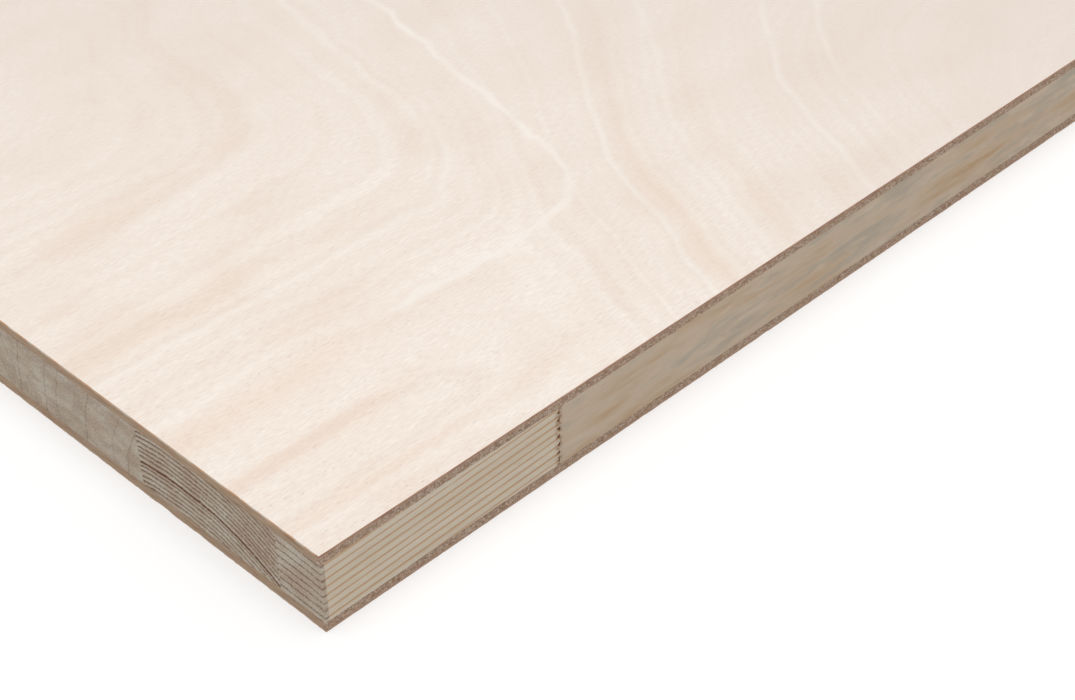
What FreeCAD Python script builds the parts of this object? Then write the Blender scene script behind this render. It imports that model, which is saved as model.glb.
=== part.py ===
"""A five-ply blockboard panel, faced both sides with beech veneer.

Plies, from the underside up: face veneer, crossband, a core of sawn softwood sticks, crossband, face veneer.
The panel lies flat. X runs along the core sticks and along the face grain, Y runs across them, and Z is up.
The origin is the centre of the underside. Lengths are in millimetres.

The core sticks lie side by side in rows. The panel is sawn out of a wider board, so the first row is only a
trimmed remnant and the last row takes what is left of the width. In each row the sticks are joined end to end
with short V-shaped fingers. The fingers of the stick on the +X side are blunt, so a small hollow stays open at
the root of each notch.
"""

import math
import os

import FreeCAD
import Part
import Sketcher

SHEET = "Dimensions"

# Every driving dimension of the panel, in millimetres, apart from finger_count.
DRIVING_DIMENSIONS = {
    "panel_length": 1220.0,
    "panel_width": 610.0,
    "face_thickness": 0.5,
    "crossband_thickness": 1.9,
    "core_thickness": 14.2,
    "stick_width": 41.0,
    "trimmed_row_width": 12.5,
    "stick_length": 600.0,
    "first_joint": 60.0,
    "joint_stagger": 227.0,
    "shortest_stick": 45.0,
    "finger_count": 7,
    "finger_depth": 1.6,
    "finger_blunting": 0.9,
}

# A leftover strip of the width that is thinner than this stays on the stick beside it.
THINNEST_ROW = 0.5


def make_sheet(doc):
    """The spreadsheet that every size below is bound to."""
    sheet = doc.addObject("Spreadsheet::Sheet", SHEET)
    for line, (alias, value) in enumerate(DRIVING_DIMENSIONS.items(), start=1):
        sheet.set(f"A{line}", alias.replace("_", " "))
        sheet.set(f"B{line}", str(value))
        sheet.setAlias(f"B{line}", alias)
    doc.recompute()
    return sheet


def cell(alias):
    """A driving dimension, as an expression calls it."""
    return f"{SHEET}.{alias}"


CORE_BOTTOM = f"{cell('face_thickness')} + {cell('crossband_thickness')}"
CORE_TOP = f"{CORE_BOTTOM} + {cell('core_thickness')}"
FINGER_PITCH = f"{cell('core_thickness')} / {cell('finger_count')}"
FINGER_REACH = f"({cell('finger_depth')} - {cell('finger_blunting')})"


def bind(target, **expressions):
    """Binds properties to expressions. A double underscore in a name stands for a dot."""
    for name, expression in expressions.items():
        target.setExpression(name.replace("__", "."), expression)


def place(target, x, y, z):
    """Puts an object's own origin at x, y, z, each of them an expression."""
    bind(target, Placement__Base__x=x, Placement__Base__y=y, Placement__Base__z=z)


def add_veneer(doc, name, thickness, underside):
    """One full sheet of veneer, with its underside at that height."""
    veneer = doc.addObject("Part::Box", name)
    veneer.Label = name
    bind(veneer, Length=cell("panel_length"), Width=cell("panel_width"), Height=thickness)
    place(veneer, f"-{cell('panel_length')} / 2", f"-{cell('panel_width')} / 2", underside)
    return veneer


def origin_feature(body, role):
    """The body's own plane or axis with that role, such as XY_Plane."""
    return next(f for f in body.Origin.OriginFeatures if f.Role == role)


def number(owner, expression):
    """What an expression comes to, read as that object reads it."""
    return float(owner.evalExpression(expression))


def add_sketch(body, name, plane):
    sketch = body.newObject("Sketcher::SketchObject", name)
    sketch.AttachmentSupport = [(origin_feature(body, plane), "")]
    sketch.MapMode = "FlatFace"
    return sketch


def draw_outline(sketch, corners):
    """Draws a closed outline through the corners, each of them a pair of expressions for x and y.

    Each corner is held to the sketch's origin by two distances, which are bound to the expressions.
    """
    points = [FreeCAD.Vector(number(sketch, x), number(sketch, y), 0) for x, y in corners]
    count = len(points)
    for i in range(count):
        sketch.addGeometry(Part.LineSegment(points[i], points[(i + 1) % count]), False)
    for i in range(count):
        sketch.addConstraint(Sketcher.Constraint("Coincident", i, 2, (i + 1) % count, 1))
    for i, pair in enumerate(corners):
        for kind, expression in zip(("DistanceX", "DistanceY"), pair):
            value = number(sketch, expression)
            index = sketch.addConstraint(Sketcher.Constraint(kind, -1, 1, i, 1, value))
            label = f"corner_{i}_{kind[-1].lower()}"
            sketch.renameConstraint(index, label)
            sketch.setExpression(f"Constraints.{label}", expression)


def add_pad(body, outline, height):
    """The stick's blank: its plan outline, raised by the height."""
    sketch = add_sketch(body, "BlankOutline", "XY_Plane")
    draw_outline(sketch, outline)
    pad = body.newObject("PartDesign::Pad", "Blank")
    pad.Profile = sketch
    bind(pad, Length=height)
    return pad


def add_notches(doc, body, name, corners, occurrences):
    """V notches across the whole width of the stick, repeated up its end at the finger pitch."""
    doc.recompute()
    uncut = body.Shape.Volume
    sketch = add_sketch(body, name + "Outline", "XZ_Plane")
    draw_outline(sketch, corners)
    notch = body.newObject("PartDesign::Pocket", name)
    notch.Profile = sketch
    notch.Type = "ThroughAll"
    notch.Midplane = True
    pattern = body.newObject("PartDesign::LinearPattern", name + "Pattern")
    pattern.Originals = [notch]
    pattern.Direction = (origin_feature(body, "Z_Axis"), [""])
    bind(
        pattern,
        Length=f"({occurrences} - 1) * {FINGER_PITCH}",
        Occurrences=occurrences,
    )
    body.Tip = pattern
    doc.recompute()
    if not body.Shape.Volume < uncut:
        raise RuntimeError(f"{body.Label}: {name} cuts nothing")


def add_stick(doc, name, start, end, width, row_start, joined_at_start, joined_at_end):
    """One core stick, from start to end along its row. A joined end has fingers.

    start and end are the middles of the finger joints there. At its +X end the stick is notched to the full
    depth of the fingers. At its -X end it carries the blunt fingers that go into such notches.
    """
    body = doc.addObject("PartDesign::Body", name.title().replace("_", ""))
    body.Label = name
    half_depth = f"{cell('finger_depth')} / 2"
    tips = f"{start} - {half_depth} + {cell('finger_blunting')}" if joined_at_start else start
    roots = f"{end} + {half_depth}" if joined_at_end else end
    length = f"({roots}) - ({tips})"
    add_pad(
        body,
        [("0", "0"), (length, "0"), (length, width), ("0", width)],
        cell("core_thickness"),
    )
    half_pitch = f"{FINGER_PITCH} / 2"
    if joined_at_end:
        add_notches(
            doc,
            body,
            "Notches",
            [(length, "0"), (length, FINGER_PITCH), (f"{length} - {cell('finger_depth')}", half_pitch)],
            cell("finger_count"),
        )
    if joined_at_start:
        gap_half = f"{half_pitch} * {FINGER_REACH} / {cell('finger_depth')}"
        add_notches(
            doc,
            body,
            "Fingers",
            [("0", f"-{gap_half}"), ("0", gap_half), (FINGER_REACH, "0")],
            f"{cell('finger_count')} + 1",
        )
    place(
        body,
        f"{tips} - {cell('panel_length')} / 2",
        f"{row_start} - {cell('panel_width')} / 2",
        CORE_BOTTOM,
    )
    return body


def row_places(sheet):
    """(start, width) of each row across the panel, each of them an expression."""
    spare = sheet.panel_width - sheet.trimmed_row_width - THINNEST_ROW
    full_rows = max(0, math.ceil(spare / sheet.stick_width))
    places = [("0", cell("trimmed_row_width"))]
    for i in range(full_rows):
        start = f"({cell('trimmed_row_width')} + {i} * {cell('stick_width')})"
        last = i == full_rows - 1
        width = f"({cell('panel_width')} - {start})" if last else cell("stick_width")
        places.append((start, width))
    return places


def row_joints(sheet, row):
    """Where the sticks of a row meet, as expressions: staggered from row to row, one stick length apart."""
    spread = f"({cell('stick_length')} - {cell('first_joint')})"
    first = f"({cell('first_joint')} + mod({row} * {cell('joint_stagger')}; {spread}))"
    joints = []
    while True:
        joint = f"({first} + {len(joints)} * {cell('stick_length')})"
        if number(sheet, joint) > sheet.panel_length - sheet.shortest_stick:
            return joints
        joints.append(joint)


def add_core(doc, sheet):
    """All the core sticks, named core_stick_ROW_PLACE: rows from the -Y side, places a, b, c from the -X end."""
    sticks = []
    for row, (row_start, width) in enumerate(row_places(sheet)):
        cuts = ["0", *row_joints(sheet, row), cell("panel_length")]
        for i, (start, end) in enumerate(zip(cuts, cuts[1:])):
            name = f"core_stick_{row + 1:02d}_{chr(ord('a') + i)}"
            joined_at_start, joined_at_end = i > 0, i < len(cuts) - 2
            sticks.append(
                add_stick(doc, name, start, end, width, row_start, joined_at_start, joined_at_end)
            )
    return sticks


def add_veneers(doc):
    """The two crossbands and the two face veneers, from the underside up."""
    face, crossband = cell("face_thickness"), cell("crossband_thickness")
    return [
        add_veneer(doc, "face_veneer_bottom", face, "0"),
        add_veneer(doc, "crossband_bottom", crossband, face),
        add_veneer(doc, "crossband_top", crossband, CORE_TOP),
        add_veneer(doc, "face_veneer_top", face, f"{CORE_TOP} + {crossband}"),
    ]


def check(doc, parts):
    """Stops before anything is written if an object failed or a part isn't one valid solid."""
    for item in doc.Objects:
        if {"Invalid", "Error"} & set(item.State):
            raise RuntimeError(f"{item.Label} failed: {item.State}")
    for part in parts:
        shape = part.Shape
        if shape.isNull() or not shape.isValid() or len(shape.Solids) != 1:
            raise RuntimeError(f"{part.Label} isn't one valid solid")


def main():
    doc = FreeCAD.newDocument("VeneeredPanel")
    sheet = make_sheet(doc)
    parts = add_veneers(doc) + add_core(doc, sheet)
    doc.recompute()
    check(doc, parts)
    os.makedirs("parts", exist_ok=True)
    for part in parts:
        part.Shape.exportStep(os.path.join("parts", part.Label + ".step"))


main()
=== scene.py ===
"""The looks of a blockboard panel: pale peeled beech faces, brown crossbands and a core of sawn softwood.

Lengths are in millimetres, except inside a mesh and on the stage, where they are in metres. X, Y and Z are
the panel's own, from the middle of its underside. The near corner is the one at the low end of X and Y.
"""

import math
import random
from collections import namedtuple
from functools import partial

import bmesh
import bpy
import numpy as np
from mathutils import Matrix, Vector, noise


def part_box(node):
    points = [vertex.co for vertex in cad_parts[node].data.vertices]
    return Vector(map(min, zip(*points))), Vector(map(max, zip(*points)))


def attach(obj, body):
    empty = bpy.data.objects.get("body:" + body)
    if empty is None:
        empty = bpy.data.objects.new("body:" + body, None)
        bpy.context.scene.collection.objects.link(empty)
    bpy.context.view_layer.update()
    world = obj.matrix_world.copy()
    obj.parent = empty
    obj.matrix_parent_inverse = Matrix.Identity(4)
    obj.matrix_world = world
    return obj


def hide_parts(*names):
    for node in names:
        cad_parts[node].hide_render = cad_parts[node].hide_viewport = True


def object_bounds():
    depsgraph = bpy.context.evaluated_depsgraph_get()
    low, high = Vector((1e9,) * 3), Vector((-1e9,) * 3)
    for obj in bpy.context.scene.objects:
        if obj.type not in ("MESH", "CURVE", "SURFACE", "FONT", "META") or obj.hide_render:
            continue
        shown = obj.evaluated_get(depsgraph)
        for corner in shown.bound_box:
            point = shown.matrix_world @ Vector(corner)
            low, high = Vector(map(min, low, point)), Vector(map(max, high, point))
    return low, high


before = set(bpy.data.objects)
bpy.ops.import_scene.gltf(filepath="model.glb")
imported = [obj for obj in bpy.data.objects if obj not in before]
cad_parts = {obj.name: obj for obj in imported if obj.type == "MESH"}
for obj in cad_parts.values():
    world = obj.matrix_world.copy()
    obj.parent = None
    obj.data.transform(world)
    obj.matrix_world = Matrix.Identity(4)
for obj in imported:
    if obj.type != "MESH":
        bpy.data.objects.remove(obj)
CAD_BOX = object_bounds()

MM = 0.001
CORNER = CAD_BOX[0] / MM
LENGTH, WIDTH, THICKNESS = (CAD_BOX[1] - CAD_BOX[0]) / MM
HALF_LENGTH, HALF_WIDTH = LENGTH / 2, WIDTH / 2
STICKS = sorted(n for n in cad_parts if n.startswith("core_stick"))
ON_PLANE = 0.01
SEED = 41


# ---------------------------------------------------------------- sums for meshes and for materials


class Value:
    """A number that varies over a surface: the output of a shader node. Its operators add Math nodes."""

    def __init__(self, paint, socket):
        self.paint = paint
        self.socket = socket

    def __add__(self, other):
        return self.paint.math("ADD", self, other)

    def __sub__(self, other):
        return self.paint.math("SUBTRACT", self, other)

    def __rsub__(self, other):
        return self.paint.math("SUBTRACT", other, self)

    def __mul__(self, other):
        return self.paint.math("MULTIPLY", self, other)

    def __truediv__(self, other):
        return self.paint.math("DIVIDE", self, other)

    def __rtruediv__(self, other):
        return self.paint.math("DIVIDE", other, self)

    def __neg__(self):
        return self * -1

    __radd__ = __add__
    __rmul__ = __mul__


def worked_out(operation, function, *values):
    """A function of numbers, by numpy, or of values on a surface, by a Math node."""
    paint = next((v.paint for v in values if isinstance(v, Value)), None)
    return paint.math(operation, *values) if paint else function(*values)


def sine(v):
    return worked_out("SINE", np.sin, v)


def root(v):
    return worked_out("SQRT", np.sqrt, v)


def floor(v):
    return worked_out("FLOOR", np.floor, v)


def absolute(v):
    return worked_out("ABSOLUTE", np.abs, v)


def exponential(v):
    return worked_out("EXPONENT", np.exp, v)


def lesser(a, b):
    return worked_out("MINIMUM", np.minimum, a, b)


def greater(a, b):
    return worked_out("MAXIMUM", np.maximum, a, b)


def rise(low, high, v):
    """0 below low, 1 above high, with a smooth rise between them. high may be the lower one, for a fall."""
    t = lesser(greater((v - low) / (high - low), 0.0), 1.0)
    return t * t * (3 - 2 * t)


def bump_at(v, middle, reach):
    """A bell curve of height 1 about the middle."""
    off = (v - middle) / reach
    return exponential(-(off * off))


# How strongly bare wood mirrors the light, on the shader's own scale.
SHEEN = 0.25


class Paint:
    """The node tree of one material, or of the world."""

    def __init__(self, name, holder=None):
        self.holder = holder or bpy.data.materials.new(name)
        self.holder.use_nodes = True
        self.tree = self.holder.node_tree
        self.tree.nodes.clear()

    def add(self, kind, settings, inputs, output=0):
        """A node: its type, its settings, what goes in its sockets, and which output to hand back."""
        node = self.tree.nodes.new("ShaderNode" + kind)
        for name, value in settings.items():
            setattr(node, name, value)
        for name, value in inputs.items():
            if isinstance(value, Value):
                self.tree.links.new(value.socket, node.inputs[name])
            else:
                node.inputs[name].default_value = value
        return Value(self, node.outputs[output])

    def math(self, operation, *values):
        return self.add("Math", {"operation": operation}, dict(enumerate(values)))

    def mix(self, share, a, b):
        """Colour a where share is 0, colour b where it is 1."""
        settings = {"data_type": "RGBA", "clamp_factor": True}
        return self.add("Mix", settings, {"Factor": share, 6: a, 7: b}, output=2)

    def split(self, vector):
        """The three parts of a vector."""
        node = self.add("SeparateXYZ", {}, {"Vector": vector}).socket.node
        return [Value(self, part) for part in node.outputs]

    def place(self):
        """X, Y and Z on the piece, in millimetres in the panel's frame."""
        spot = self.add("TexCoord", {}, {}, output="Object")
        return [part / MM for part in self.split(spot)]

    def own(self, name):
        """The three numbers that a piece carries under that name."""
        settings = {"attribute_type": "OBJECT", "attribute_name": name}
        return self.split(self.add("Attribute", settings, {}, output="Vector"))

    def spot(self, x, y, z):
        return self.add("CombineXYZ", {}, {"X": x, "Y": y, "Z": z})

    def cloud(self, x, y, z, detail=2.0, roughness=0.5):
        """Soft noise about 0, from about -1 to 1, one unit across. x, y and z come already scaled."""
        inputs = {"Vector": self.spot(x, y, z), "Scale": 1.0, "Detail": detail, "Roughness": roughness}
        return self.add("TexNoise", {"noise_dimensions": "3D"}, inputs) * 4 - 2

    def streaks(self, w, detail=1.0):
        """Noise about 0 along one line."""
        inputs = {"W": w, "Scale": 1.0, "Detail": detail, "Roughness": 0.5}
        return self.add("TexNoise", {"noise_dimensions": "1D"}, inputs) * 4 - 2

    def grains(self, x, y):
        """(distance to the nearest of many scattered points, that point's own number from 0 to 1)."""
        inputs = {"Vector": self.spot(x, y, 0.0), "Scale": 1.0, "Randomness": 1.0}
        near = self.add("TexVoronoi", {"voronoi_dimensions": "2D"}, inputs, output="Distance")
        own = Value(self, near.socket.node.outputs["Color"])
        return near, self.split(own)[0]

    def bump(self, height, depth):
        """A Bump from a height that goes from 0 to 1, depth millimetres deep."""
        inputs = {"Height": height, "Strength": 1.0, "Distance": depth * MM}
        return self.add("Bump", {}, inputs, output="Normal")

    def finish(self, tone, roughness, normal):
        """The finished material of bare wood in that colour."""
        inputs = {"Base Color": tone, "Roughness": roughness, "Normal": normal, "Specular IOR Level": SHEEN}
        return self.give(self.add("BsdfPrincipled", {}, inputs))

    def give(self, shader, kind="OutputMaterial"):
        """Makes that shader the surface, and hands back the finished material."""
        out = self.tree.nodes.new("ShaderNode" + kind)
        self.tree.links.new(shader.socket, out.inputs["Surface"])
        return self.holder


def colour(red, green, blue):
    """A colour given on the usual 0 to 255 scale, as the renderer wants it."""
    def linear(c):
        c /= 255
        return c / 12.92 if c <= 0.04045 else ((c + 0.055) / 1.055) ** 2.4
    return (linear(red), linear(green), linear(blue), 1.0)


# ---------------------------------------------------------------- the growth rings of the core sticks

# heart_y, heart_z: where the heart of the tree runs, in the panel's frame. lean_y, lean_z: how far it
# wanders for each millimetre along the stick. pitch: the width of a ring. seed: tells the sticks apart.
# contrast: how dark the rings are. even: 1 where all are alike. wave: how unsteady their lines are.
# dark: the number of a ring that is much darker than the rest.
Log = namedtuple("Log", "heart_y heart_z pitch lean_y lean_z seed contrast even wave dark")
NO_RING = -9.0

# The sticks at the near corner, with the heart's Y given from that corner.
CORNER_LOGS = {
    "01_a": Log(11.0, -120.0, 1.85, 0.0, 0.033, 0.4, 0.75, 0.85, 0.03, NO_RING),
    "01_b": Log(64.0, 6.0, 2.1, 0.024, 0.006, 2.1, 0.2, 0.4, 0.2, NO_RING),
    "02_a": Log(40.0, -51.0, 1.22, 0.0, 0.01, 1.3, 1.0, 0.9, 0.03, NO_RING),
    "03_a": Log(37.5, 2.0, 4.3, 0.01, 0.0, 3.9, 0.3, 0.2, 0.15, NO_RING),
    "04_a": Log(62.0, 26.0, 3.2, 0.0, 0.01, 5.2, 0.34, 0.3, 0.15, NO_RING),
}
# Where the dark ring of a stick comes out of its sawn end: Y from the near corner, and Z.
DARK_RINGS = {"02_a": (38.0, 9.35)}
# How much stronger a dark ring is than the rest.
DARK_EXTRA = 0.4
# How far before the end of a ring its summer wood begins, and is full.
SUMMER_START, SUMMER_FULL = 0.72, 0.22


def random_log(draw, row_middle):
    """A stick sawn from anywhere in a log: near its heart, flat across its rings or upright along them."""
    turn = draw.uniform(0, 2 * math.pi)
    away = draw.choice([14, 35, 60, 90]) * draw.uniform(0.8, 1.2)
    return Log(
        row_middle + away * math.cos(turn),
        THICKNESS / 2 + away * math.sin(turn),
        draw.uniform(1.3, 3.4),
        draw.uniform(-0.012, 0.012),
        draw.uniform(-0.012, 0.012),
        draw.uniform(0, 9),
        draw.uniform(0.45, 1.0),
        draw.uniform(0.2, 0.8),
        draw.uniform(0.0, 0.3),
        NO_RING,
    )


def stick_logs():
    """{place of the stick, such as 02_a: its Log}, in the panel's frame."""
    draw = random.Random(SEED)
    logs = {}
    for node in STICKS:
        key = node[-4:]
        low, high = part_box(node)
        log = random_log(draw, (low.y + high.y) / 2 / MM)
        near = CORNER_LOGS.get(key)
        logs[key] = near._replace(heart_y=near.heart_y + CORNER.y) if near else log
    for key, (y, z) in DARK_RINGS.items():
        number = float(np.floor(rings(logs[key], -HALF_LENGTH, y + CORNER.y, z)))
        logs[key] = logs[key]._replace(dark=number)
    return logs


def rings(log, x, y, z):
    """How many rings lie between the heart and a point: a whole number at the end of each summer."""
    from_corner = x + HALF_LENGTH
    y = y - log.heart_y - log.lean_y * from_corner
    z = z - log.heart_z - log.lean_z * from_corner
    radius = root(y * y + z * z)
    sway = 0.14 * sine(y * 0.23 + z * 0.11 + log.seed)
    sway = sway + 0.05 * sine(y * 0.61 - z * 0.37 + from_corner * 0.02)
    sway = sway + log.wave * sine(y * 1.3 + z * 0.9 + 1.5 * sine(z * 0.7 - y * 0.4 + log.seed))
    count = (radius + sway) / log.pitch
    uneven = 1.15 - log.even
    return count + uneven * (0.16 * sine(count * 1.9 + log.seed) + 0.09 * sine(count * 4.3))


def summer_wood(log, phase):
    """0 in the spring wood of a ring and 1 in its summer wood, which is about as wide in every tree."""
    return rise(1 - SUMMER_START / log.pitch, 1 - SUMMER_FULL / log.pitch, phase)


def ring_strength(log, ring):
    """From 0 to 1, or 1.4 for a stick's dark ring: how dark and deep the summer wood of that ring is."""
    own = 0.5 + 0.5 * sine(ring * 2.4 + log.seed)
    return log.contrast * (log.even + (1 - log.even) * own) + DARK_EXTRA * bump_at(ring, log.dark, 0.4)


# ---------------------------------------------------------------- shaping the sawn edges

# How deep the saw leaves the summer wood of a ring, on a sawn end and on a side sawn along the grain.
END_RELIEF, SIDE_RELIEF = 0.22, 0.05
# How deep fibres are torn out of a sawn end and out of a side, and the farthest that an end lies back.
TEAR, SIDE_TEAR, DEEPEST = 0.09, 0.02, 0.9
# The size of the small squares on a sawn end, along Y and along Z: finer by the near corner.
NEAR_ROWS = {"01": (0.17, 0.14), "02": (0.22, 0.12), "03": (0.28, 0.2), "04": (0.35, 0.25)}
FAR_ROW = (0.55, 0.35)
# How far apart a sawn side is cut: first the step up to that reach along X, then the step beyond it.
SIDE_STEP, SIDE_REACH, FAR_SIDE_STEP = 2.0, 60.0, 7.0
# A sheet starts as a grid of cells. Its last line of points runs inside its outline by the rim.
CELL, RIM = 15.25, 0.35
# How far apart the points on a sheet's outline are: by the near corner, up to that X and Y from it, and
# farther off.
NEAR_STEP, NEAR_X, NEAR_Y = 0.5, 260, 130
FAR_STEP = 1.8
# A sheet's sawn edge: how many strips it is divided into from top to bottom, and how deep its fibres are
# torn along the panel's short edges and along its long ones.
Edge = namedtuple("Edge", "layers end_depth side_depth")


def tear(x, y, z, size):
    """Noise from about -1 to 1 at a list of points: fibres pulled out by the saw, of that size."""
    return np.array([noise.noise(Vector((a / size, b / size, c / size))) for a, b, c in zip(x, y, z)])


def end_recess(log, x, y, z):
    """How far the sawn end lies back at these points: the saw tears the summer wood of each ring deeper."""
    count = rings(log, x, y, z)
    ring = np.floor(count)
    depth = summer_wood(log, count - ring) * ring_strength(log, ring) * END_RELIEF
    beads = TEAR * (tear(x, y, z, 0.38) + 0.4 * tear(x, y, z, 1.1))
    return np.clip(depth + beads + TEAR, 0.0, DEEPEST)


def side_recess(log, x, y, z):
    """The same for a side that was sawn along the grain, which is much smoother."""
    count = rings(log, x, y, z)
    rough = SIDE_TEAR * (1 + tear(x / 6, y, z, 0.5))
    return summer_wood(log, count - np.floor(count)) * SIDE_RELIEF + rough


def torn_edge(depth, x, y, z):
    """The same for the sawn edge of a veneer: torn fibres, and here and there a chip."""
    torn = 0.5 + 0.5 * tear(x, y, z * 1.5, 0.8) + 0.35 * tear(x, y, z, 2.9)
    chip = np.clip(tear(x + 70, y, z * 0.3, 3.3) - 0.28, 0, 1) * 2.2
    return np.clip(depth * (torn + chip), 0, 4 * depth)


def coordinates(verts):
    """X, Y and Z of the vertices, in millimetres."""
    return np.array([v.co for v in verts], float).reshape(-1, 3).T / MM


def on_plane(verts, axis, level):
    """Those of the vertices that lie on that plane, whose level is in millimetres."""
    return [v for v in verts if abs(v.co[axis] / MM - level) < ON_PLANE]


def sink(bm, planes):
    """Sets sawn planes back. planes: for each its axis, its level and its recess, from X, Y and Z.

    Every recess is worked out before a vertex moves, because those on an arris lie on two planes.
    """
    moves = []
    for axis, level, recess in planes:
        verts = on_plane(bm.verts, axis, level)
        inwards = -math.copysign(1, level)
        moves.append((verts, axis, inwards * recess(*coordinates(verts))))
    for verts, axis, amounts in moves:
        for vert, amount in zip(verts, amounts):
            vert.co[axis] += float(amount) * MM


def merged_copy(node):
    """The CAD node's triangles as a bmesh of flat faces."""
    bm = bmesh.new()
    bm.from_mesh(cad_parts[node].data)
    bmesh.ops.remove_doubles(bm, verts=bm.verts, dist=1e-6)
    bmesh.ops.dissolve_limit(bm, angle_limit=math.radians(1), verts=bm.verts, edges=bm.edges)
    return bm


def lies_along(edge, axis):
    """Whether the edge runs along that axis: 0, 1 or 2 for X, Y or Z."""
    a, b = (v.co for v in edge.verts)
    return abs(a[axis] - b[axis]) > 0.99 * (a - b).length


def cut_end(bm, level, fine_y, fine_z):
    """Divides the stick's end on that X plane into small squares."""
    for axis, step in ((2, fine_z), (1, fine_y)):
        on_end = set(on_plane(bm.verts, 0, level))
        edges = [e for e in bm.edges if set(e.verts) <= on_end and lies_along(e, axis)]
        span = edges[0].calc_length() / MM
        bmesh.ops.subdivide_edges(bm, edges=edges, cuts=max(1, round(span / step)))


def cut_side(bm, level, along, levels):
    """Divides the stick's side on that Y plane by cuts at those places along X and those heights."""
    for axis, places in ((2, levels), (0, along)):
        done = -math.inf
        for place in places:
            faces = [
                f for f in bm.faces
                if abs(f.normal.y) > 0.9
                and abs(f.verts[0].co.y / MM - level) < ON_PLANE
                and f.calc_center_bounds()[axis] / MM > done
            ]
            near = {g for f in faces for g in (*f.verts, *f.edges)}
            at, across = [0.0, 0.0, 0.0], [0.0, 0.0, 0.0]
            at[axis], across[axis] = place * MM, 1.0
            bmesh.ops.bisect_plane(bm, geom=[*faces, *near], dist=1e-7, plane_co=at, plane_no=across)
            done = place


def spaced(low, high):
    """Where a sawn side is cut along X: close together after low, and farther apart up to high."""
    places, at = [], low
    while True:
        at += SIDE_STEP if at - low < SIDE_REACH else FAR_SIDE_STEP
        if at > high - SIDE_STEP / 2:
            return places
        places.append(at)


def write_piece(bm, name, slot, material, *nodes):
    """Turns the bmesh into a piece that stands for those CAD nodes."""
    bmesh.ops.recalc_face_normals(bm, faces=bm.faces)
    mesh = bpy.data.meshes.new(name)
    bm.to_mesh(mesh)
    bm.free()
    mesh.materials.append(material)
    piece = bpy.data.objects.new(name, mesh)
    bpy.context.scene.collection.objects.link(piece)
    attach(piece, "root")
    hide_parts(*nodes)
    return piece


def touched(low, high, half):
    """Which of the two planes at half on either side of the middle a piece from low to high reaches."""
    return [level for level in (-half, half) if min(abs(low - level), abs(high - level)) < ON_PLANE]


def make_stick(node, log, material):
    """One core stick: its sawn end and, on the outer rows, its sawn side get their relief."""
    key = node[-4:]
    low, high = (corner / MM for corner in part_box(node))
    ends, sides = touched(low.x, high.x, HALF_LENGTH), touched(low.y, high.y, HALF_WIDTH)
    at_near_end = -HALF_LENGTH in ends
    fine_y, fine_z = NEAR_ROWS.get(key[:2], FAR_ROW) if at_near_end else FAR_ROW
    bm = merged_copy(node)
    for end in ends:
        cut_end(bm, end, fine_y, fine_z)
    levels = [low.z + fine_z * i for i in range(1, int((high.z - low.z) / fine_z))]
    for side in sides:
        if ends:
            arris = on_plane(on_plane(bm.verts, 0, ends[0]), 1, side)
            levels = sorted(v.co.z / MM for v in arris)[1:-1]
        # Past a finger joint the first cut comes sooner, just behind the roots of the fingers.
        start = low.x if at_near_end else low.x - SIDE_STEP / 2
        cut_side(bm, side, spaced(start, high.x), levels)
    planes = [(0, end, partial(end_recess, log)) for end in ends]
    planes += [(1, side, partial(side_recess, log)) for side in sides]
    sink(bm, planes)
    piece = write_piece(bm, "pine_stick_" + key, "core_stick", material, node)
    give_log(piece, log, low, high)


def give_log(piece, log, low, high):
    """The piece carries its log's numbers, which its material reads."""
    piece["heart"] = [log.heart_y, log.heart_z, log.pitch]
    piece["lean"] = [log.lean_y, log.lean_z, log.seed]
    piece["rings"] = [log.contrast, log.even, log.wave]
    piece["ends"] = [low.x, high.x, log.dark]


def is_near(spot):
    """Whether a place on a sheet's outline lies by the near corner."""
    return spot.x + HALF_LENGTH < NEAR_X and spot.y + HALF_WIDTH < NEAR_Y


def sheet_blank(low, high, layers):
    """A full sheet of veneer, its outline and its edges cut fine enough for their torn fibres."""
    bm = bmesh.new()
    bmesh.ops.create_grid(bm, x_segments=round(LENGTH / CELL), y_segments=round(WIDTH / CELL), size=0.5)
    bmesh.ops.scale(bm, vec=(LENGTH * MM, WIDTH * MM, 1), verts=bm.verts)
    bmesh.ops.translate(bm, vec=(0, 0, high.z * MM), verts=bm.verts)
    outline = [e for e in bm.edges if e.is_boundary]
    near = [e for e in outline if is_near((e.verts[0].co + e.verts[1].co) / 2 / MM)]
    far = [e for e in outline if e not in near]
    bmesh.ops.subdivide_edges(bm, edges=near, cuts=round(CELL / NEAR_STEP) - 1)
    bmesh.ops.subdivide_edges(bm, edges=far, cuts=round(CELL / FAR_STEP) - 1)
    bmesh.ops.inset_region(bm, faces=bm.faces, thickness=RIM * MM, use_boundary=True, use_even_offset=True)
    made = bmesh.ops.extrude_face_region(bm, geom=bm.faces)["geom"]
    lower = [g for g in made if isinstance(g, bmesh.types.BMVert)]
    bmesh.ops.translate(bm, vec=(0, 0, (low.z - high.z) * MM), verts=lower)
    upright = [e for e in bm.edges if lies_along(e, 2)]
    bmesh.ops.subdivide_edges(bm, edges=upright, cuts=layers - 1)
    return bm


def make_sheet(node, name, slot, material, edge):
    """One veneer of the panel, with its sawn edges torn as edge says."""
    low, high = (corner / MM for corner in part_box(node))
    bm = sheet_blank(low, high, edge.layers)
    planes = [(0, level, partial(torn_edge, edge.end_depth)) for level in (-HALF_LENGTH, HALF_LENGTH)]
    planes += [(1, level, partial(torn_edge, edge.side_depth)) for level in (-HALF_WIDTH, HALF_WIDTH)]
    sink(bm, planes)
    write_piece(bm, name, slot, material, node)


# ---------------------------------------------------------------- materials


# What the parts of a stick's colour share: the place, the log's seed, how plain a stick without clear rings
# is, how much of a ring line there is, and its mottle.
Grain = namedtuple("Grain", "x y z seed plain line mottle")


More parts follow.
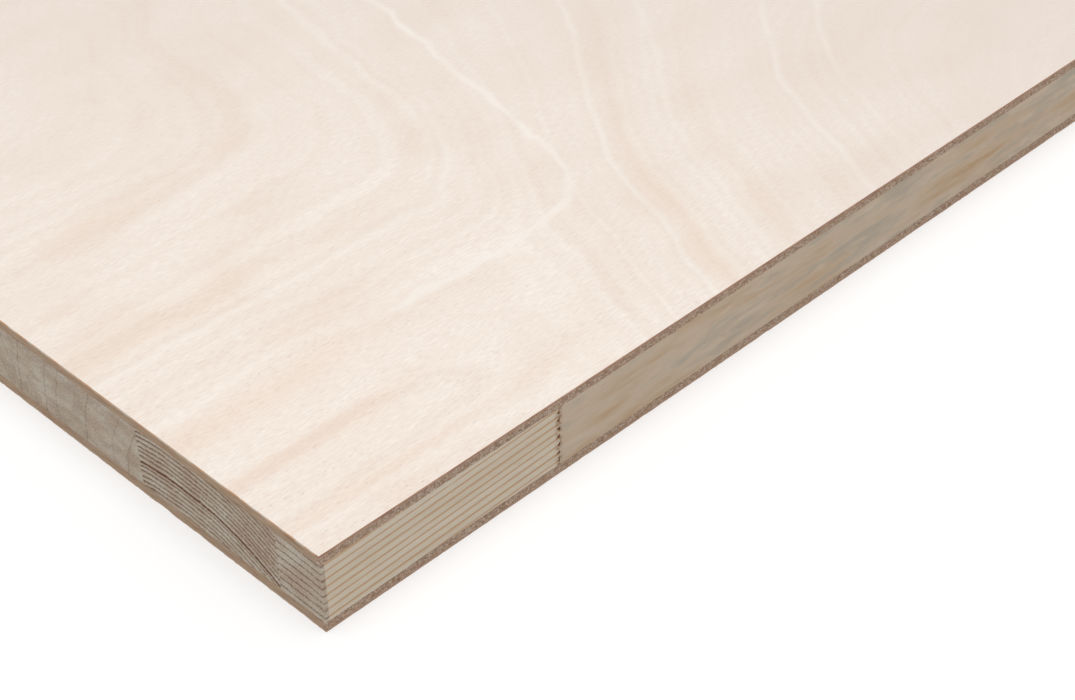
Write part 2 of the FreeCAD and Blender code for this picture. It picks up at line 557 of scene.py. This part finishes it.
def softwood():
    """Sawn pine or spruce. Rings show as fine lines along the side and as dark grooves across the end."""
    paint = Paint("sawn_softwood")
    x, y, z = paint.place()
    heart_y, heart_z, pitch = paint.own("heart")
    lean_y, lean_z, seed = paint.own("lean")
    contrast, even, wave = paint.own("rings")
    low, high, dark = paint.own("ends")
    log = Log(heart_y, heart_z, pitch, lean_y, lean_z, seed, contrast, even, wave, dark)
    count = rings(log, x, y, z)
    ring = floor(count)
    phase = count - ring
    strength = ring_strength(log, ring)
    summer = summer_wood(log, phase)
    fibre = paint.cloud(x / 7, y * 2.2, z * 2.2, 3, 0.6)
    speck = paint.cloud(x * 1.2, y * 2.6, z * 2.6, 3, 0.65)
    mottle = paint.cloud(x / 9, y / 6, z / 2.4 + seed * 9, 3, 0.6)
    plain = (1 - contrast) * (1 - contrast) * 1.25
    grain = Grain(x, y, z, seed, plain, summer * lesser(strength, 1.0) * 0.95, mottle)

    side = side_colour(paint, grain, fibre)
    side = paint.mix(glue_stain(paint, x, low, high, z), side, colour(128, 88, 48))
    darkest = rise(0.2, 0.6, phase) * rise(1.05, 1.35, strength)
    end = rise(HALF_LENGTH - 1.2, HALF_LENGTH - 0.9, absolute(x))
    whole = paint.mix(end, side, end_colour(paint, grain, darkest, speck))
    # Painted light: the faces inside the panel, seen only in the hollows of the finger joints, are painted a
    # bright orange, far paler than the brown wood there, to make up for the deep shade in those hollows.
    within_side = rise(HALF_WIDTH - 0.12, HALF_WIDTH - 0.5, absolute(y))
    within_end = rise(HALF_LENGTH - 0.4, HALF_LENGTH - 1.0, absolute(x))
    whole = paint.mix(within_side * within_end, whole, colour(226, 160, 84))
    height = 0.5 + fibre * 0.1 + speck * 0.28 * end - summer * strength * 0.2
    return paint.finish(whole, 0.85, paint.bump(height, 0.16))


def side_colour(paint, grain, fibre):
    """A side sawn along the grain: brown lines where the rings are clear, stains where they are faint."""
    x, y, z, seed, plain, line, mottle = grain
    blotch = paint.cloud(x / 60, y / 9, z / 3.2 + seed * 7, 2)
    stain = paint.cloud(x / 30 + 11, y / 12, z / 3.6 + seed * 5, 2)
    tone = paint.mix(rise(-1.2, 1.2, blotch), colour(226, 214, 196), colour(218, 203, 182))
    tone = paint.mix(plain * 0.9, tone, colour(204, 182, 158))
    tone = paint.mix(line, tone, colour(192, 140, 84))
    tone = paint.mix(rise(-0.2, 1.3, stain + mottle * 0.5) * plain, tone, colour(191, 156, 118))
    tone = paint.mix(rise(-0.1, 1.2, -stain - mottle * 0.6) * plain, tone, colour(182, 172, 157))
    tone = paint.mix(rise(0.1, 1.1, mottle) * 0.35, tone, colour(226, 216, 198))
    return paint.mix(rise(0.0, 1.3, fibre) * 0.4, tone, colour(176, 150, 120))


def end_colour(paint, grain, darkest, speck):
    """A sawn end: dark ring grooves, one of them darkest, between fibres torn dark and pale."""
    x, y, z, seed, plain, line, mottle = grain
    worn = paint.cloud(x / 8, y / 7, z / 5 + seed * 3, 2)
    tone = paint.mix(rise(-1, 1, worn), colour(208, 198, 182), colour(188, 166, 145))
    tone = paint.mix(rise(-0.5, 0.8, mottle) * plain, tone, colour(170, 152, 136))
    tone = paint.mix(line, tone, colour(106, 70, 42))
    tone = paint.mix(darkest * 0.9, tone, colour(110, 60, 24))
    tone = paint.mix(rise(0.0, 1.1, speck) * 0.5, tone, colour(118, 94, 74))
    return paint.mix(rise(0.1, 1.0, -speck) * 0.65, tone, colour(240, 234, 220))


def glue_stain(paint, x, low, high, z):
    """How brown the side is about the finger joints at the stick's two ends."""
    near = greater(bump_at(x, low - 0.3, 0.75), bump_at(x, high - 1.0, 0.75))
    patchy = rise(-0.7, 0.6, paint.cloud(x, 0.0, z * 1.1, 2))
    return near * patchy * 0.9 * rise(HALF_LENGTH - 4, HALF_LENGTH - 6, absolute(x))


def crossband():
    """The brown veneer under the faces: side grain along the short edges, end grain along the long ones."""
    paint = Paint("brown_crossband")
    x, y, z = paint.place()
    end_grain = rise(HALF_WIDTH - 0.8, HALF_WIDTH - 0.6, absolute(y))
    pores = paint.cloud(x * 1.5, y * 1.5, z * 1.9, 3, 0.6)
    drift = paint.cloud(x / 14, y / 14, z / 2, 2)
    away, own = paint.grains(x * 1.8, z * 2.2)
    dot = rise(0.5, 0.2, away)
    speckled = paint.mix(rise(-1.2, 1.2, pores), colour(142, 110, 90), colour(206, 182, 160))
    speckled = paint.mix(rise(-1, 1, drift) * 0.4, speckled, colour(180, 146, 120))
    speckled = paint.mix(dot * rise(0.55, 0.8, own) * 0.55, speckled, colour(228, 214, 198))
    speckled = paint.mix(dot * rise(0.4, 0.15, own) * 0.5, speckled, colour(116, 88, 70))
    streak = paint.cloud(x * 2, y / 7, z * 2.6, 3, 0.6)
    smooth = paint.mix(rise(-1.1, 1.1, streak), colour(148, 116, 92), colour(204, 178, 150))
    smooth = paint.mix(rise(-1, 1, drift) * 0.5, smooth, colour(176, 154, 134))
    whole = paint.mix(end_grain, smooth, speckled)
    height = 0.5 + pores * 0.25 * end_grain + streak * 0.1
    return paint.finish(whole, 0.88, paint.bump(height, 0.15))


def softer_greater(a, b, reach):
    """The greater of two values, rounded where they are about equal."""
    nearness = lesser(greater(0.5 + (b - a) / (2 * reach), 0.0), 1.0)
    return a + (b - a) * nearness + reach * nearness * (1 - nearness)


def figure(paint, x, y):
    """(the height of the growth rings under the peeled face, how much of a pale line runs there).

    Lines of one height are lines of the figure. At the near corner they run along the grain, turn up in long
    hooks and fan out beyond them. Farther off they wander, drawn out along the grain. x and y are from the
    near corner.
    """
    sway = paint.cloud(x / 60, y / 42, 0.3, 2)
    ripple = paint.cloud(x / 15, y / 11, 5.1, 2)
    beyond = softer_greater(0.5 * (y - 44), y - 44, 6)
    fan = 122 + (x - 122 - 0.70 * beyond) / (1 + 0.0042 * beyond) + sway * 2 + ripple * 0.7
    upright = x - 0.2 * (y - 70)
    lens = 13 * bump_at(y, 16.5, 8.5) * rise(84, 30, x)
    shelf = 124.5 - 0.78 * softer_greater(y - 44, -0.12 * (y - 44), 6)
    hook = softer_greater(upright, shelf + lens, 20) - 4 + sway * 3 + ripple * 1.2
    close = softer_greater(hook, 1.3 * fan - 7, 12)
    wander = paint.cloud(x / 300, y / 75, 9.7, 3, 0.45) * 95 + 60
    far = rise(190, 420, root(x * x + y * y * 2.2))

    bend = softer_greater(upright - 121, 0.78 * (42.5 - y), 20) + ripple * 1.3 + sway
    line = bump_at(bend, 0, 1.0) * rise(46, 66, x) + bump_at(bend, -18, 1.4) * 0.35
    for start, strength in ((122, 0.5), (141, 0.35), (175, 0.5), (192, 0.4)):
        line = line + bump_at(fan, start, 1.0) * strength
    broken = 0.75 + 0.35 * paint.cloud(x / 11, y / 13, 14.0, 1)
    return close + (wander - close) * far, lesser(line, 1.0) * broken * (1 - far)


def beech(name, turn, reddish):
    """Pale rotary-cut beech veneer, sanded. turn is 0 for the upper face and picks another leaf otherwise.

    reddish is how strong the colours of its sawn edge are. x and y are from the near corner, here and below.
    """
    paint = Paint(name)
    x, y, z = paint.place()
    x, y = x - CORNER.x + turn, y - CORNER.y
    from_corner = root(x * x + y * y)
    height, line = figure(paint, x, y)
    fine = paint.streaks(height / 3.6 + 7.7, 2)
    grain = paint.cloud(x / 2.6, y * 2.6, 1.0, 2, 0.6)

    tone = beech_ground(paint, x, y, from_corner, height, fine, grain)
    tone = paint.mix(orange_bands(x, y) * 0.3, tone, colour(236, 208, 184))
    tone = paint.mix(line * 0.7, tone, colour(253, 246, 238))
    fleck = ray_flecks(paint, x, y, fine)
    near = rise(150, 30, from_corner)
    tone = paint.mix(fleck * (0.16 + 0.34 * near), tone, colour(182, 130, 100))

    edge = rise(0.02, 0.06, absolute(absolute(z - THICKNESS / 2) - THICKNESS / 2))
    tone = paint.mix(edge, tone, veneer_edge(paint, x, y, z, reddish))
    relief = 0.5 + grain * 0.2 - fleck * 0.3
    return paint.finish(tone, 0.58, paint.bump(relief, 0.03))


def beech_ground(paint, x, y, from_corner, height, fine, grain):
    """The face's main tone: palest by the near corner, with warm bands there and long flames farther off."""
    broad = paint.streaks(height / 15 + 3.1, 2)
    shimmer = paint.cloud(x / 1.6, y / 0.8, 8.0, 2)
    patch = paint.cloud(x / 34, y / 17, 2.2, 2)
    flame = paint.cloud(x / 170, y / 20, 12.2, 3)
    away = rise(40, 280, from_corner + patch * 18)
    open_field = rise(220, 520, from_corner)
    cloudy = patch + (flame - patch) * open_field
    warm_band = rise(-0.6, 1.3, broad * (0.75 - 0.25 * away + 0.35 * open_field) + cloudy * 0.85)
    tone = paint.mix(warm_band * 0.8, colour(255, 246, 237), colour(246, 230, 214))
    tone = paint.mix(away * 0.75 - open_field * 0.2, tone, colour(232, 220, 211))
    deep_flame = rise(-0.5, 1.1, flame + broad * 0.6) * open_field
    tone = paint.mix(deep_flame * 0.45, tone, colour(224, 205, 190))
    lines = fine * (0.26 - 0.15 * away + 0.2 * open_field)
    shade = lesser(greater(0.5 + lines + grain * 0.5 + shimmer * 0.2, 0.0), 1.0)
    return paint.mix(shade * (0.5 - 0.2 * away), tone, colour(228, 205, 188))


def orange_bands(x, y):
    """How orange the face is, from 0 to 1: three bands that run in from the near short edge."""
    orange = bump_at(y, 41, 5) * rise(80, 20, x) + bump_at(y, 25, 2.5) * rise(75, 25, x)
    orange = orange + bump_at(y, 8.5, 2.0) * rise(90, 20, x)
    return lesser(orange, 1.0)


def ray_flecks(paint, x, y, fine):
    """The short dark dashes of beech, from 0 to 1: they lie along the grain, in clusters."""
    clusters = rise(-0.7, 0.8, paint.cloud(x / 22, y / 3.5, 21.0, 2) + fine * 0.3)
    return rise(0.5, 1.1, paint.cloud(x / 1.6, y / 0.24, 20.0, 1)) * clusters


def veneer_edge(paint, x, y, z, reddish):
    """A face's sawn edge: reddish along the grain, with orange and pale spots where that is cut across."""
    spots = paint.cloud(x * 0.3, y * 0.35, z, 3)
    streak = paint.cloud(x / 6, y, z * 2, 2)
    along = paint.mix(rise(-1, 1, streak), colour(162, 112, 88), colour(204, 162, 134))
    across = paint.mix(rise(-0.5, 0.5, spots), colour(222, 164, 116), colour(218, 206, 186))
    side = greater(rise(1.0, 0.7, y), rise(WIDTH - 1.0, WIDTH - 0.7, y))
    return paint.mix(reddish, colour(186, 160, 138), paint.mix(side, across, along))


# ---------------------------------------------------------------- light, floor and camera

# The strength of the sun and the width of its disc in degrees, and the strength of the light all round.
KEY_LIGHT, KEY_SPREAD = 1.62, 60
FILL_LIGHT = 0.46
# How pale the floor is, what it adds to be seen as white, and half its width.
FLOOR_TONE, FLOOR_GLOW, FLOOR_REACH = 0.68, 0.38, 12.0


def white_to_the_eye(paint, plain, glow):
    """The plain shader, with the glow seen by the camera and in reflections in its place."""
    path = paint.add("LightPath", {}, {}, output="Is Camera Ray")
    outputs = path.socket.node.outputs
    mirrored = greater(Value(paint, outputs["Is Glossy Ray"]), Value(paint, outputs["Is Transmission Ray"]))
    return paint.add("MixShader", {}, {0: greater(path, mirrored), 1: plain, 2: glow})


def make_world():
    """Even white light from all round, seen as plain white."""
    world = bpy.data.worlds.new("studio")
    bpy.context.scene.world = world
    paint = Paint("studio", world)
    white = (1.0, 1.0, 1.0, 1.0)
    fill = paint.add("Background", {}, {"Color": white, "Strength": FILL_LIGHT})
    sight = paint.add("Background", {}, {"Color": white, "Strength": 1.0})
    paint.give(white_to_the_eye(paint, fill, sight), "OutputWorld")


def make_floor():
    """A wide pale floor that shows white, with the panel's soft shadow on it."""
    paint = Paint("pale_floor")
    tone = (FLOOR_TONE, FLOOR_TONE, FLOOR_TONE, 1.0)
    plain = paint.add("BsdfDiffuse", {}, {"Color": tone})
    glow = paint.add("Emission", {}, {"Color": (1, 1, 1, 1), "Strength": FLOOR_GLOW})
    lit = paint.add("AddShader", {}, {0: plain, 1: glow})
    paint.give(white_to_the_eye(paint, plain, lit))
    bm = bmesh.new()
    bmesh.ops.create_grid(bm, x_segments=1, y_segments=1, size=FLOOR_REACH)
    mesh = bpy.data.meshes.new("floor")
    bm.to_mesh(mesh)
    bm.free()
    mesh.materials.append(paint.holder)
    floor_piece = bpy.data.objects.new("floor", mesh)
    bpy.context.scene.collection.objects.link(floor_piece)


def make_light():
    """A very broad soft light from high above, a little to the near corner's side."""
    lamp = bpy.data.lights.new("soft_daylight", "SUN")
    lamp.energy = KEY_LIGHT
    lamp.angle = math.radians(KEY_SPREAD)
    holder = bpy.data.objects.new("soft_daylight", lamp)
    holder.rotation_euler = Vector((0.17, 0.17, -1.0)).to_track_quat("-Z", "Y").to_euler()
    bpy.context.scene.collection.objects.link(holder)


def make_camera():
    """A long lens close to the near corner, looking down along the diagonal."""
    eye = CORNER + Vector((-177.2, -238.0, 300.8))
    heading, dip, tilt = math.radians(45.766), math.radians(38.782), math.radians(-1.112)
    ahead = Vector((math.cos(heading) * math.cos(dip), math.sin(heading) * math.cos(dip), -math.sin(dip)))
    level = Vector((math.sin(heading), -math.cos(heading), 0))
    up = level.cross(ahead)
    right = math.cos(tilt) * level + math.sin(tilt) * up
    up = math.cos(tilt) * up - math.sin(tilt) * level
    turned = Matrix((right, up, -ahead)).transposed()
    data = bpy.data.cameras.new("camera")
    data.sensor_width, data.lens = 36.0, 77.59
    data.clip_start, data.clip_end = 0.02, 60.0
    camera = bpy.data.objects.new("camera", data)
    camera.matrix_world = Matrix.Translation(eye * MM) @ turned.to_4x4()
    bpy.context.scene.collection.objects.link(camera)
    bpy.context.scene.camera = camera


def main():
    make_camera()
    make_world()
    make_floor()
    make_light()
    logs = stick_logs()
    wood = softwood()
    for node in STICKS:
        make_stick(node, logs[node[-4:]], wood)
    brown = crossband()
    make_sheet("crossband_top", "brown_crossband_top", "crossband", brown, Edge(6, 0.08, 0.14))
    make_sheet("crossband_bottom", "brown_crossband_bottom", "crossband", brown, Edge(6, 0.12, 0.16))
    top, bottom = beech("beech_upper_face", 0.0, 1.0), beech("beech_lower_face", 700.0, 0.25)
    make_sheet("face_veneer_top", "beech_face_top", "face_veneer", top, Edge(2, 0.07, 0.03))
    make_sheet("face_veneer_bottom", "beech_face_bottom", "face_veneer", bottom, Edge(2, 0.16, 0.12))
    bpy.context.scene.view_settings.view_transform = "Standard"


main()
